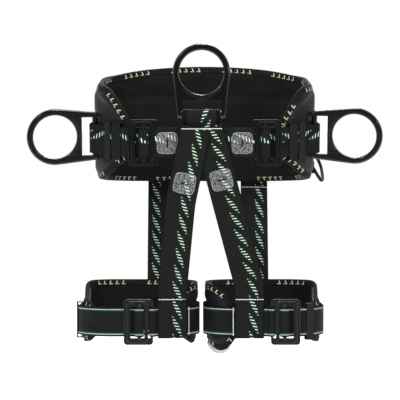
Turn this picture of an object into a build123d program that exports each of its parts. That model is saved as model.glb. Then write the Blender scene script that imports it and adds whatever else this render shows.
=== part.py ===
"""Tree climbing saddle: a padded waist belt with three forged rings, two front straps, two rear
straps and two padded leg loops, closed by four pass-through buckles.

Frame, in millimetres: the origin is the centre of the wearer's waist, level with the belt at the
hips. +Z is up, the wearer looks along -Y, and +X is the wearer's left. The waist belt lies in a
plane that dips towards the front, so it is drawn on the tilted plane `waist`: local x and y are its
plan, and local z (called w in names) runs up the belt. A pad's outer face is its outline, and
distances out from that face are called n.
"""

import os
from math import asin, atan2, cos, degrees, radians, sin, tan

from build123d import *

os.makedirs("parts", exist_ok=True)

# ---------------------------------------------------------------- webbing
web_w = 45.0  # width of all webbing
web_t = 2.2  # thickness of one layer
gap = 0.3  # between pieces that move past each other
bar_gap = 0.5  # between a bar and the webbing round it
keeper_t = 1.0  # wall of a keeper
keeper_hw = 28.0  # half height of a keeper

# ---------------------------------------------------------------- waist belt, in plan and in height
belt_dip = 10.5  # degrees that the belt dips towards the front
waist_hw, waist_hd, waist_r = 168.0, 122.0, 80.0  # half width, half depth, corner radius
waist_corner = (waist_hw - waist_r, -(waist_hd - waist_r))  # centre of the front left corner
pad_t, lining_t, shell_t = 12.0, 2.0, 1.6
binding_t, binding_w = 0.9, 8.0  # edge tape, and how far it laps each face
belt_mid = 3.6  # middle of the belt webbing, out from the pad
tail_mid = belt_mid + web_t + 0.2  # middle of the tail that lies on the belt
pad_top_back, pad_top_side = 91.0, 79.0
pad_low_z = -75.5  # the lower edge is level
pad_tip_x, pad_tip_top, pad_tip_low = 112.0, 21.0, -28.0

# ---------------------------------------------------------------- forged rings
ring_r, ring_hole_r = 43.0, 33.5
ring_reach = 62.0  # from the bar's axis to the middle of the hole
ring_bar_r = 4.5
ring_t, ring_web_t = 10.0, 6.5  # rim and web
ring_slot_hw, ring_slot_top = 29.5, 21.0
ring_foot_hw, ring_foot_h = 37.0, 12.0
ring_round, ring_eye_round = 4.0, 2.5  # forged edges outside, and at the eye
side_ring_at = -24.0  # where a side ring sits on the waist's corner, degrees from straight out
side_ring_n = 7.3  # its bar's axis, out from the pad
side_ring_yaw = -12.0  # the way it points, degrees from straight out
side_ring_w = {"left": 5.0, "right": 3.0}  # how high each hangs in the play of its slot

# ---------------------------------------------------------------- front straps
front_x = -5.0  # the front ring, front straps and leg loops sit this far off the waist's centre
front_ring_y, front_ring_w = -132.5, 43.6  # bar's axis on the waist plane
ring_loop_hw = 28.5
top_w, split_w = 24.5, -90.0  # ends of a front strap's upper run
front_strap_x = {"left": (9.5, 39.0), "right": (-8.0, -31.5)}  # at top_w and split_w, from front_x
tack_h, tack_w, tack_t = 33.0, 32.0, 0.6  # sewn blocks

# ---------------------------------------------------------------- rear straps
rear_x = {"left": 84.0, "right": -72.0}
rear_split_z = -106.0

# ---------------------------------------------------------------- leg loops
leg_off, leg_y, leg_z = 97.5, 10.0, -296.5  # a loop's centre: from front_x, depth, strap height
leg_hw, leg_hd, leg_r = 89.0, 81.0, 50.0
leg_pad_t, leg_lining_t, leg_shell_t = 9.0, 1.6, 1.2
leg_belt_mid = 4.8  # middle of the leg webbing, out from the pad
leg_tail_mid = leg_belt_mid + web_t + 0.2
sewn_past = 4.0  # how far the webbing's sewn end runs on past the front strap's foot
leg_corner = (leg_hw - leg_r, -(leg_hd - leg_r))
leg_top, leg_low = 55.0, -35.0  # the rear of the pad, from the strap's middle
leg_tab_x = -38.0  # the pad's inner front end
foot_out = {"left": -24.0, "right": -53.5}  # front strap's foot, outwards from the leg's centre
buckle_out = {"left": 33.0, "right": 0.5}
keeper_at = {"left": -58.0, "right": -12.0}  # on the leg's outer front corner, in degrees
foot_top, foot_low = 36.0, -26.0  # the foot's fold, from the strap's middle

# ---------------------------------------------------------------- buckles: u out, v forward, w up
steel = 2.5
frame_v = tail_mid + web_t / 2 + 0.4  # back of the fixed plate, out from the pad
plate_v = frame_v + steel + 0.4  # back of the passing plate
frame_u, frame_w = (-24.0, 21.0), 70.0
plate_hu, plate_w = 16.5, 64.0
window_hu, window_hw = 10.7, 24.6
bar_u, bar_hu, bar_t = -3.0, 3.0, 2.8  # sliding bar
bar_travel = 1.2
waist_buckle_x = 94.0

waist = Plane(
    origin=(0, 0, 0),
    x_dir=(1, 0, 0),
    z_dir=(0, -sin(radians(belt_dip)), cos(radians(belt_dip))),
)


# ---------------------------------------------------------------- helpers
def write(part, label):
    """Labels one finished piece and writes its STEP file."""
    part.label = label
    export_step(part, f"parts/{label}.step")


def write_side(part, side, name):
    """Writes a piece drawn on the wearer's left, mirrored when it belongs to the right."""
    write(part if side == "left" else mirror(part, about=Plane.YZ), f"{side}_{name}")


def on_circle(centre, radius, angle):
    """The point of a circle at an angle in degrees from +X."""
    return (centre[0] + radius * cos(radians(angle)), centre[1] + radius * sin(radians(angle)))


def mitre(centre, radius, start, end):
    """The corner whose fillet is the arc of this circle between two angles."""
    return on_circle(centre, radius / cos(radians((end - start) / 2)), (start + end) / 2)


def lead(centre, radius, angle, ahead):
    """A point on the tangent of a circle, this far clockwise of where it touches."""
    x, y = on_circle(centre, radius, angle)
    return (x + ahead * sin(radians(angle)), y - ahead * cos(radians(angle)))


def rounded(half_w, half_d, radius, grow):
    """A rounded rectangle, grown outwards."""
    with BuildSketch(mode=Mode.PRIVATE) as plan:
        Rectangle(2 * (half_w + grow), 2 * (half_d + grow))
        fillet(plan.vertices(), radius + grow)
    return plan.sketch


def waist_band(inner, outer):
    """The plan between two distances out from the waist pad."""
    return rounded(waist_hw, waist_hd, waist_r, outer) - rounded(waist_hw, waist_hd, waist_r, inner)


def leg_band(inner, outer):
    """The plan between two distances out from a leg pad."""
    return rounded(leg_hw, leg_hd, leg_r, outer) - rounded(leg_hw, leg_hd, leg_r, inner)


def wedge(centre, angle, half_angle):
    """A slice with its tip at a corner's centre."""
    reach = 200
    with BuildSketch(mode=Mode.PRIVATE) as slice_plan:
        with BuildLine():
            Polyline(
                centre,
                on_circle(centre, reach, angle - half_angle),
                on_circle(centre, reach, angle + half_angle),
                close=True,
            )
        make_face()
    return slice_plan.sketch


def ribbon(plane, points, radii, width=web_w):
    """Webbing that follows a bent line drawn on a plane, as wide as `width` to both sides of it."""
    with BuildPart() as strap:
        with BuildSketch(plane):
            with BuildLine():
                FilletPolyline(*points, radius=radii)
            trace(line_width=web_t)
        extrude(amount=width / 2, both=True)
    return strap.part


def flat_strap(plane, points, radius):
    """Webbing that lies flat on a plane, along a bent line."""
    with BuildPart() as strap:
        with BuildSketch(plane):
            with BuildLine():
                if len(points) == 2:
                    Line(*points)
                else:
                    FilletPolyline(*points, radius=radius)
            trace(line_width=web_w)
        extrude(amount=web_t / 2, both=True)
    return strap.part


def facing_front(base, y, x=0, up=0):
    """A plane that faces forward at a point of a base plane, with x across and y up it."""
    return Plane(origin=base.from_local_coords((x, y, up)), x_dir=base.x_dir, z_dir=-base.y_dir)


def layer(plane, plan, envelope):
    """One layer of a pad: a band in plan, cut to the pad's outline."""
    reach = 130
    with BuildPart() as sheet:
        with BuildSketch(plane):
            add(plan)
        extrude(amount=reach, both=True)
        add(envelope, mode=Mode.INTERSECT)
    return sheet.part


def keeper(plane, band, centre, angle, half_angle):
    """A loop round the belt and its tail, on a rounded corner; band gives plans by distance out."""
    inner, outer = keeper_band[band]
    plan = {"waist": waist_band, "leg": leg_band}[band]
    with BuildPart() as loop:
        with BuildSketch(plane):
            add(plan(inner, outer))
            add(wedge(centre, angle, half_angle), mode=Mode.INTERSECT)
        extrude(amount=keeper_hw, both=True)
        with BuildSketch(plane):
            add(plan(inner + keeper_t, outer - keeper_t))
            add(wedge(centre, angle, half_angle + 1), mode=Mode.INTERSECT)
        extrude(amount=keeper_hw - keeper_t, both=True, mode=Mode.SUBTRACT)
    return loop.part


keeper_band = {
    "waist": (binding_t + gap, tail_mid + web_t / 2 + gap + keeper_t),
    "leg": (binding_t + gap, leg_tail_mid + web_t / 2 + gap + keeper_t),
}


# ---------------------------------------------------------------- waist pad
def waist_envelope(grow):
    """The space between the pad's upper and lower edges, moved outwards by `grow`."""
    far, near, below = waist_hw + 30, waist_hw - pad_t - 6, -130
    meet_y, deep = -30, 160
    with BuildPart() as envelope:
        with BuildSketch(facing_front(waist, meet_y)):
            with BuildLine():
                ThreePointArc((-near, pad_top_side), (0, pad_top_back), (near, pad_top_side))
                Polyline((near, pad_top_side), (far, pad_top_side), (far, below), (-far, below))
                Polyline((-far, below), (-far, pad_top_side), (-near, pad_top_side))
            make_face()
            offset(amount=grow)
        extrude(amount=meet_y - deep)
        with BuildSketch(facing_front(waist, meet_y)):
            for flip in (1, -1):
                with BuildLine():
                    flap = FilletPolyline(
                        (flip * far, -82),
                        (flip * 178, -82),
                        (flip * 124, pad_tip_low),
                        (flip * pad_tip_x, pad_tip_low),
                        (flip * pad_tip_x, pad_tip_top),
                        (flip * 124, 46),
                        (flip * 149, pad_top_side),
                        (flip * far, pad_top_side),
                        radius=(16, 12, 5, 5, 20, 12),
                    )
                    Line(flap @ 1, flap @ 0)
                make_face()
            offset(amount=grow)
        extrude(amount=deep + meet_y)
        split(bisect_by=Plane(origin=(0, 0, pad_low_z - grow), z_dir=(0, 0, 1)))
    return envelope.part


waist_space = waist_envelope(0)
waist_layers = {
    "shell": (-shell_t, 0),
    "foam": (lining_t - pad_t, -shell_t),
    "lining": (-pad_t, lining_t - pad_t),
}
for name, (inner, outer) in waist_layers.items():
    write(layer(waist, waist_band(inner, outer), waist_space), f"waist_pad_{name}")

with BuildPart() as waist_binding:
    add(layer(waist, waist_band(-pad_t - binding_t, binding_t), waist_envelope(binding_t)))
    add(layer(waist, waist_band(-pad_t, 0), waist_space), mode=Mode.SUBTRACT)
    add(waist_envelope(-binding_w), mode=Mode.SUBTRACT)
write(waist_binding.part, "waist_pad_binding")

# ---------------------------------------------------------------- belt webbing round the waist
tail_end = -43.0  # where the tails stop on the corner, in degrees
bump_end = -39.0  # where the belt is back on the pad after a side ring
over_bar = bar_gap + web_t / 2  # from a bar's face to the middle of the webbing round it

ring_bar_xy = on_circle(waist_corner, waist_r + side_ring_n, side_ring_at)
belt_r, tail_r = waist_r + belt_mid, waist_r + tail_mid
inner_leg_x = waist_buckle_x + bar_u - bar_hu - bar_travel - over_bar
tail_start = -82.0  # where the tail touches the corner, past the buckle
leave_bar = lead(waist_corner, tail_r, tail_start, 3)
crest_v = plate_v + bar_t + over_bar  # webbing over a sliding bar


def half_belt():
    """The belt from the middle of the back, over a ring's bar and through the buckle."""
    front_y, crest_y = -waist_hd - belt_mid, -waist_hd - crest_v
    points = [
        (0, waist_hd + belt_mid),
        (waist_hw + belt_mid, waist_hd + belt_mid),
        (waist_hw + belt_mid, -46),
        on_circle(waist_corner, waist_r + side_ring_n + ring_bar_r + over_bar + 4, side_ring_at - 1),
        lead(waist_corner, belt_r, bump_end, -4),
        mitre(waist_corner, belt_r, bump_end, -90),
        (inner_leg_x, front_y),
        (inner_leg_x, crest_y),
        (leave_bar[0], crest_y),
        leave_bar,
        mitre(waist_corner, tail_r, tail_start, tail_end),
        lead(waist_corner, tail_r, tail_end, -1),
    ]
    radii = (belt_r, 30, 7, 6, belt_r, 1.6, 3, 3, 1.6, tail_r)
    return ribbon(waist, points, radii)


belt_half = half_belt()
with BuildPart() as waist_belt:
    add(belt_half)
    mirror(about=Plane.YZ)
write(waist_belt.part, "waist_belt")

# ---------------------------------------------------------------- strap between the waist buckles
loop_v = steel / 2 + over_bar - 0.1
strap_front_y = -waist_hd - frame_v - steel / 2 - loop_v
strap_back_y = -waist_hd - frame_v - steel / 2 + loop_v
strap_tail_y = strap_front_y + web_t + 0.2
strap_end_x = waist_buckle_x - 19
strap_points = [
    (0, strap_front_y),
    (strap_end_x, strap_front_y),
    (strap_end_x, strap_back_y),
    (strap_end_x - 8, strap_back_y),
    (strap_end_x - 16, strap_tail_y),
    (40, strap_tail_y),
]
with BuildPart() as centre_strap:
    add(ribbon(waist, strap_points, (2.6, 2.6, 6, 6)))
    mirror(about=Plane.YZ)
write(centre_strap.part, "centre_strap")


def tack(plane, tilt, slit_tilt):
    """A block of dense stitching on a strap's face, with a slit left open across the strap."""
    slit_w, slit_h = 1.6, 14.0
    with BuildPart() as block:
        with BuildSketch(plane):
            RectangleRounded(tack_w, tack_h, 7, rotation=tilt)
            SlotOverall(slit_h, slit_w, rotation=slit_tilt, mode=Mode.SUBTRACT)
        extrude(amount=tack_t)
    return block.part


waist_tack_x = 56.0
waist_tack = tack(facing_front(waist, strap_front_y - web_t / 2, waist_tack_x), 0, 90)
for side in ("left", "right"):
    write_side(waist_tack, side, "waist_tack")


# ---------------------------------------------------------------- rings
def ring_outline(inset):
    """The outer edge of a ring: a round eye and a straight foot, joined by tangents."""
    with BuildSketch(mode=Mode.PRIVATE) as plan:
        with Locations((0, ring_reach)):
            Circle(ring_r - inset)
        RectangleRounded(2 * (ring_foot_hw - inset), ring_foot_h, 5)
        make_hull()
    return plan.sketch


def forged_ring(plane):
    """A ring drawn in a plane: x along its webbing bar, y from the bar to the eye."""
    rim = 8.0
    with BuildPart() as ring:
        with BuildSketch(plane):
            add(ring_outline(0))
        extrude(amount=ring_t / 2, both=True)
        fillet(ring.faces().filter_by(Axis(plane.origin, plane.z_dir)).edges(), ring_round)
        with BuildSketch(plane):
            with Locations((0, ring_reach)):
                Circle(ring_hole_r)
        extrude(amount=ring_t, both=True, mode=Mode.SUBTRACT)
        eye_edges = ring.edges().filter_by(GeomType.CIRCLE)
        fillet(eye_edges.filter_by(lambda edge: abs(edge.radius - ring_hole_r) < 0.01), ring_eye_round)
        for out in (1, -1):
            with BuildSketch(plane.offset(out * ring_web_t / 2)):
                add(ring_outline(rim))
                with Locations((0, ring_reach)):
                    Circle(ring_hole_r + rim, mode=Mode.SUBTRACT)
            extrude(amount=out * ring_t, mode=Mode.SUBTRACT)
        with BuildSketch(plane):
            with Locations((0, 0)):
                Rectangle(2 * ring_slot_hw, 2 * ring_slot_top)
        extrude(amount=ring_t, both=True, mode=Mode.SUBTRACT)
        with BuildSketch(Plane(origin=plane.origin, x_dir=plane.y_dir, z_dir=plane.x_dir)):
            Circle(ring_bar_r)
        extrude(amount=ring_slot_hw + 2, both=True)
    return ring.part


yaw = radians(side_ring_yaw)
for side, ring_w in side_ring_w.items():
    side_ring_plane = Plane(
        origin=waist.from_local_coords((*ring_bar_xy, ring_w)),
        x_dir=waist.z_dir,
        z_dir=waist.from_local_coords((-sin(yaw), cos(yaw), 0)),
    )
    write_side(forged_ring(side_ring_plane), side, "ring")

front_bar = waist.from_local_coords((front_x, front_ring_y, front_ring_w))
front_ring = forged_ring(Plane(origin=front_bar, x_dir=(1, 0, 0), z_dir=(0, -1, 0)))
write(front_ring, "front_ring")

# ---------------------------------------------------------------- webbing loop of the front ring
across = Plane(
    origin=waist.from_local_coords((front_x, 0, 0)), x_dir=waist.y_dir, z_dir=waist.x_dir
)  # x is depth, y is height up the waist plane
loop_r = ring_bar_r + over_bar
loop_front_y = strap_front_y - web_t - gap
front_strap_y = {"left": loop_front_y - web_t - gap, "right": loop_front_y - 2 * (web_t + gap)}
loop_points = [
    (loop_front_y, -20),
    (loop_front_y, 28),
    (front_ring_y - loop_r, 36),
    (front_ring_y - loop_r, front_ring_w + loop_r),
    (front_ring_y + loop_r, front_ring_w + loop_r),
    (front_ring_y + loop_r, 34),
    (strap_front_y + web_t + gap, 24),
    (strap_front_y + web_t + gap, -34),
]
loop_radii = (12, 12, loop_r - 0.05, loop_r - 0.05, 10, 10)
write(ribbon(across, loop_points, loop_radii, 2 * ring_loop_hw), "front_ring_loop")

# ---------------------------------------------------------------- front straps, upper runs
tack_at = {"left": -55.0, "right": -60.0}
for side, (top_x, split_x) in front_strap_x.items():
    face = facing_front(waist, front_strap_y[side], front_x)
    slope = (split_x - top_x) / (split_w - top_w)
    spare = 15
    with BuildPart() as run:
        ends = [(top_x + slope * spare, top_w + spare), (split_x - slope * spare, split_w - spare)]
        add(flat_strap(face, ends, 0))
        split(bisect_by=Plane(origin=face.from_local_coords((0, split_w, 0)), z_dir=waist.z_dir))
        split(bisect_by=Plane(origin=face.from_local_coords((0, top_w, 0)), z_dir=-waist.z_dir))
    write(run.part, f"{side}_front_strap")
    tack_x = front_x + top_x + slope * (tack_at[side] - top_w)
    seat = facing_front(waist, front_strap_y[side] - web_t / 2, tack_x, tack_at[side])
    tilt = -degrees(atan2(split_x - top_x, top_w - split_w))
    write(tack(seat, -tilt, -tilt), f"{side}_strap_tack")

# ---------------------------------------------------------------- rear straps, upper runs
def in_profile(x, y, z):
    """A side view plane at x, with its x backwards and its y up."""
    return Plane(origin=(x, y, z), x_dir=(0, 1, 0), z_dir=(1, 0, 0))


def profile_of(x, y, w):
    """Depth and height of a point given on the waist plane."""
    point = waist.from_local_coords((x, y, w))
    return (point.Y, point.Z)


rear_foot_mid = leg_belt_mid + web_t + 0.4
rear_foot_y = leg_y + leg_hd + rear_foot_mid
rear_foot_top = leg_z + 48
rear_face = waist_hd + binding_t + web_t / 2 + gap
pad_edge = profile_of(0, rear_face, -105)
rear_slope = (pad_edge[0] - rear_foot_y) / (pad_edge[1] - rear_foot_top)


def rear_run(z):
    """The rear strap's point at a height below the waist pad."""
    return (pad_edge[0] + rear_slope * (z - pad_edge[1]), z)


for side, x in rear_x.items():
    points = [profile_of(0, rear_face, -27), pad_edge, rear_run(rear_split_z)]
    write(ribbon(in_profile(x, 0, 0), points, (20,)), f"{side}_rear_strap")


# ---------------------------------------------------------------- buckles
def buckle_frame(seat):
    """The fixed plate: a slot for a sewn loop, and a window that the other plate passes through."""
    rail, slot_w = 3.5, 4.5
    inner, outer = frame_u
    slot = (inner + rail, inner + rail + slot_w)
    window = (-window_hu, outer - 5.5)
    with BuildPart() as plate:
        with BuildSketch(seat.offset(frame_v)):
            with Locations(((inner + outer) / 2, 0)):
                RectangleRounded(outer - inner, frame_w, 5)
            for low, high in (slot, window):
                with Locations(((low + high) / 2, 0)):
                    RectangleRounded(high - low, 2 * window_hw, 1.5, mode=Mode.SUBTRACT)
        extrude(amount=steel)
        rims = plate.faces().filter_by(Axis(seat.origin, seat.z_dir)).edges()
        chamfer(rims, 0.5)
    return plate.part


def buckle_plate(seat):
    """The passing plate: one window, with pockets where the sliding bar's ends run."""
    pocket_hu, pocket_hw = bar_hu + bar_travel + gap, window_hw + 4.4
    with BuildPart() as plate:
        with BuildSketch(seat.offset(plate_v)):
            RectangleRounded(2 * plate_hu, plate_w, 5)
            RectangleRounded(2 * window_hu, 2 * window_hw, 2, mode=Mode.SUBTRACT)
            with Locations((bar_u, 0)):
                Rectangle(2 * pocket_hu, 2 * pocket_hw, mode=Mode.SUBTRACT)
        extrude(amount=steel)
        rims = plate.faces().filter_by(Axis(seat.origin, seat.z_dir)).edges()
        chamfer(rims, 0.5)
    return plate.part


def buckle_bar(seat):
    """The bar that slides in the passing plate and grips the webbing."""
    with BuildPart() as bar:
        with BuildSketch(seat.offset(plate_v)):
            with Locations((bar_u, 0)):
                Rectangle(2 * bar_hu, 2 * (window_hw + 4))
        extrude(amount=bar_t)
        chamfer(bar.edges().filter_by(Axis(seat.origin, seat.y_dir)), 0.7)
    return bar.part


buckle_pieces = {"buckle_frame": buckle_frame, "buckle_plate": buckle_plate, "buckle_bar": buckle_bar}
waist_seat = facing_front(waist, -waist_hd, waist_buckle_x)
for name, make in buckle_pieces.items():
    for side in ("left", "right"):
        write_side(make(waist_seat), side, f"waist_{name}")

# ---------------------------------------------------------------- keepers on the waist belt
waist_keepers = {"rear_keeper": (-47.2, 4.2), "front_keeper": (-58.4, 5.0)}  # angle, half width in degrees
for name, (angle, half_angle) in waist_keepers.items():
    for side in ("left", "right"):
        write_side(keeper(waist, "waist", waist_corner, angle, half_angle), side, f"waist_{name}")


# ---------------------------------------------------------------- gear loop under the belt, on the left
cord_r = 2.5
gear_route = [
    (169.8, 31.0, -35.0),
    (180.5, 31.0, -39.0),
    (187.0, 23.0, -54.0),
    (188.0, 3.0, -70.0),
    (186.0, -19.0, -79.0),
    (180.5, -33.0, -77.5),
    (169.8, -33.0, -58.5),
]


def route_radii(route):
    """The largest arc that each corner of a cord's route has room for."""
    radii = []
    for before, corner, after in zip(route, route[1:], route[2:]):
        first, second = Vector(corner) - Vector(before), Vector(after) - Vector(corner)
        half_turn = radians(first.get_angle(second)) / 2
        radii.append(0.45 * min(first.length, second.length) / tan(half_turn))
    return radii


gear_radii = route_radii(gear_route)
print("gear loop radii", [round(radius, 1) for radius in gear_radii])
with BuildPart() as gear_loop:
    with BuildLine() as gear_path:
        FilletPolyline(*gear_route, radius=gear_radii)
    with BuildSketch(Plane(origin=gear_path.line @ 0, z_dir=gear_path.line % 0)):
        Circle(cord_r)
    sweep()
print("gear loop length", round(gear_path.wires()[0].length, 1))
with BuildPart() as gear_tabs:
    for end in (gear_route[0], gear_route[-1]):
        with BuildSketch(Plane(origin=(waist_hw + 0.2, end[1], end[2]), z_dir=(1, 0, 0))):
            RectangleRounded(14, 16, 3)
        extrude(amount=3)
    add(gear_loop.part, mode=Mode.SUBTRACT)
write(gear_loop.part, "left_gear_loop")
write(gear_tabs.part, "left_gear_loop_tabs")


# ---------------------------------------------------------------- leg loops
# lower edge of a pad's inner front end: the left one hangs below the foot, the right one is cut short
leg_tab = {
    "left": ((-85, leg_low), (-74, -49), (leg_tab_x - 6, -35)),
    "right": ((-79, leg_low - 1), (-75, -22), (leg_tab_x - 6, -20)),
}
leg_tab_radii = {"left": (3, 14, 12), "right": (5, 4, 6)}


def leg_envelope(leg, side_name, grow):
    """The space between a leg pad's edges: full height behind, an inner tab and an outer end."""
    side, meet_y, deep, meet_top = leg_hw + 8, -8, 120, 32
    across_leg = Plane(origin=leg.origin, x_dir=(0, 1, 0), z_dir=(1, 0, 0))
    with BuildPart() as envelope:
        with BuildSketch(facing_front(leg, meet_y, -side / 2, (leg_top + leg_low) / 2)):
            Rectangle(side, leg_top - leg_low + 2 * grow)
        extrude(amount=-deep)
        with BuildSketch(across_leg):
            with BuildLine():
                FilletPolyline(
                    (deep, leg_low - grow),
                    (meet_y, leg_low - grow),
                    (meet_y, meet_top + grow),
                    (48, leg_top + grow),
                    (deep, leg_top + grow),
                    radius=(0, 0, 0, 25, 0),
                    close=True,
                )
            make_face()
        extrude(amount=side)
        with BuildSketch(facing_front(leg, meet_y)):
            with BuildLine():
                FilletPolyline(
                    (-side, leg_low),
                    *leg_tab[side_name],
                    (leg_tab_x, 4),
                    (leg_tab_x - 8, 30),
                    (-side + 10, leg_top),
                    (-side, leg_top),
                    radius=(0, *leg_tab_radii[side_name], 8, 14, 5, 0),
                    close=True,
                )
            make_face()
            with BuildLine():
                FilletPolyline(
                    (side, leg_low),
                    (leg_hw - 20, leg_low + 6),
                    (leg_hw - 27, 0),
                    (leg_hw - 20, 22),
                    (leg_hw - 9, meet_top),
                    (side, meet_top),
                    radius=(3, 12, 10, 12, 6, 3),
                    close=True,
                )
            make_face()
            offset(amount=grow)
        extrude(amount=deep)
    return envelope.part


def leg_webbing(leg, buckle_x, foot_x, tail_end):
    """The leg strap: sewn round the fixed plate, once round the leg, and back through the bar."""
    front_inner = (-leg_corner[0], leg_corner[1])
    near, far = leg_hw + leg_belt_mid, leg_hd + leg_belt_mid
    lift = leg_belt_mid - belt_mid
    frame_mid = leg_hd + lift + frame_v + steel / 2
    loop_x = buckle_x - 19
    inner_x = buckle_x + bar_u - bar_hu - bar_travel - over_bar
    outer_x = buckle_x + bar_u + bar_hu + bar_travel + over_bar
    crest = -(leg_hd + lift + crest_v)
    belt_arc, tail_arc = leg_r + leg_belt_mid, leg_r + leg_tail_mid
    sewn_end = foot_x - web_w / 2 - sewn_past
    sewn_at = -90 + degrees(asin((sewn_end - front_inner[0]) / tail_arc))
    points = [
        lead(front_inner, tail_arc, sewn_at, 1),
        mitre(front_inner, tail_arc, sewn_at, -90),
        (loop_x - 9.2, -leg_hd - leg_tail_mid),
        (loop_x - 5.9, -frame_mid - loop_v),
        (loop_x, -frame_mid - loop_v),
        (loop_x, -frame_mid + loop_v),
        (loop_x - 5.9, -frame_mid + loop_v),
        (loop_x - 9.2, -far),
        (-near, -far),
        (-near, far),
        (near, far),
        mitre(leg_corner, belt_arc, 0, -90),
        (inner_x, -far),
        (inner_x, crest),
        (outer_x, crest),
        (outer_x, -leg_hd - leg_tail_mid),
        mitre(leg_corner, tail_arc, -90, tail_end),
        lead(leg_corner, tail_arc, tail_end, -1),
    ]
    loop_radii = (tail_arc, 2, 1.5, 2.6, 2.6, 2, 2)
    radii = (*loop_radii, belt_arc, belt_arc, belt_arc, belt_arc, 1.6, 3, 3, 1.6, tail_arc)
    return ribbon(leg, points, radii)


def front_foot(leg, x):
    """The fold at the lower end of a front strap, round the leg strap."""
    clear = 0.4
    inner, outer = leg_belt_mid - web_t / 2 - clear, leg_tail_mid + web_t / 2 + clear
    web_low = -web_w / 2 - clear
    with BuildPart() as foot:
        with BuildSketch(leg.offset(foot_low)):
            add(leg_band(inner - web_t, outer + web_t))
            with Locations((x, -leg_hd)):
                Rectangle(web_w, 80, mode=Mode.INTERSECT)
        extrude(amount=foot_top - foot_low)
        with BuildSketch(leg.offset(web_low)):
            add(leg_band(inner, outer))
        extrude(amount=100, mode=Mode.SUBTRACT)
    return foot.part


def build_leg(side):
    """All pieces of the leg loop on one side, drawn as if it were the wearer's left one."""
    flip = {"left": 1, "right": -1}[side]
    centre_x = flip * front_x + leg_off
    leg = Plane(origin=(centre_x, leg_y, leg_z), x_dir=(1, 0, 0), z_dir=(0, 0, 1))
    space = leg_envelope(leg, side, 0)
    shell = layer(leg, leg_band(-leg_shell_t, 0), space)
    foam = layer(leg, leg_band(leg_lining_t - leg_pad_t, -leg_shell_t), space)
    lining = layer(leg, leg_band(-leg_pad_t, leg_lining_t - leg_pad_t), space)
    with BuildPart() as binding:
        add(layer(leg, leg_band(-leg_pad_t - binding_t, binding_t), leg_envelope(leg, side, binding_t)))
        add(layer(leg, leg_band(-leg_pad_t, 0), space), mode=Mode.SUBTRACT)
        add(leg_envelope(leg, side, -binding_w), mode=Mode.SUBTRACT)
    tail_end = keeper_at[side] + 14
    pieces = {
        "leg_pad_shell": shell,
        "leg_pad_foam": foam,
        "leg_pad_lining": lining,
        "leg_pad_binding": binding.part,
        "leg_strap": leg_webbing(leg, buckle_out[side], foot_out[side], tail_end),
        "leg_keeper": keeper(leg, "leg", leg_corner, keeper_at[side], 6.5),
    }
    seat = facing_front(leg, -leg_hd - leg_belt_mid + belt_mid, buckle_out[side])
    for name, make in buckle_pieces.items():
        pieces[f"leg_{name}"] = make(seat)
    pieces["front_strap_foot"] = front_run(side, leg, foot_out[side])
    pieces["rear_strap_foot"] = rear_foot(flip * rear_x[side])
    return pieces


def rear_foot(x):
    """The rear strap below its flex, down over the back of the leg strap."""
    points = [
        rear_run(rear_split_z - 1),
        (rear_foot_y, rear_foot_top),
        (rear_foot_y, leg_z - web_w / 2 - 3),
    ]
    return ribbon(in_profile(x, 0, 0), points, (30,))


def front_run(side, leg, x):
    """The front strap below its flex, with the fold that holds the leg strap."""
    flip = {"left": 1, "right": -1}[side]
    start = waist.from_local_coords((0, front_strap_y[side], split_w - 1.5))
    foot_mid = leg_tail_mid + web_t + 0.4
    end = Vector(0, leg_y - leg_hd - foot_mid, leg_z + foot_top - 3)
    up = (Vector(0, start.Y, start.Z) - end).normalized()
    length = (Vector(0, start.Y, start.Z) - end).length
    face = Plane(origin=end, x_dir=(1, 0, 0), z_dir=Vector(1, 0, 0).cross(up))
    top_x = flip * (front_x + front_strap_x[side][1])
    foot_x = leg.origin.X + x
    slope, spare = (top_x - foot_x) / (length - 20), 15
    points = [(foot_x, 0), (foot_x, 20), (top_x + spare * slope, length + spare)]
    with BuildPart() as run:
        add(flat_strap(face, points, 60))
        split(bisect_by=Plane(origin=(0, start.Y, start.Z), z_dir=-waist.z_dir))
        add(front_foot(leg, x))
    return run.part


for side in ("left", "right"):
    for name, piece in build_leg(side).items():
        write_side(piece, side, name)
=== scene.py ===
"""Looks of the tree climbing saddle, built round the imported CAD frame.

Lengths named below are in millimetres and are turned into metres by MM where a mesh is made. The
waist belt lies in a plane that dips to the front: waist(x, y, w) places a point of that plane, with
w running up the belt. Legs are drawn as the wearer's left one, with x outwards from the leg's
centre, and mirrored for the right.
"""

import math
from functools import partialmethod

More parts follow.
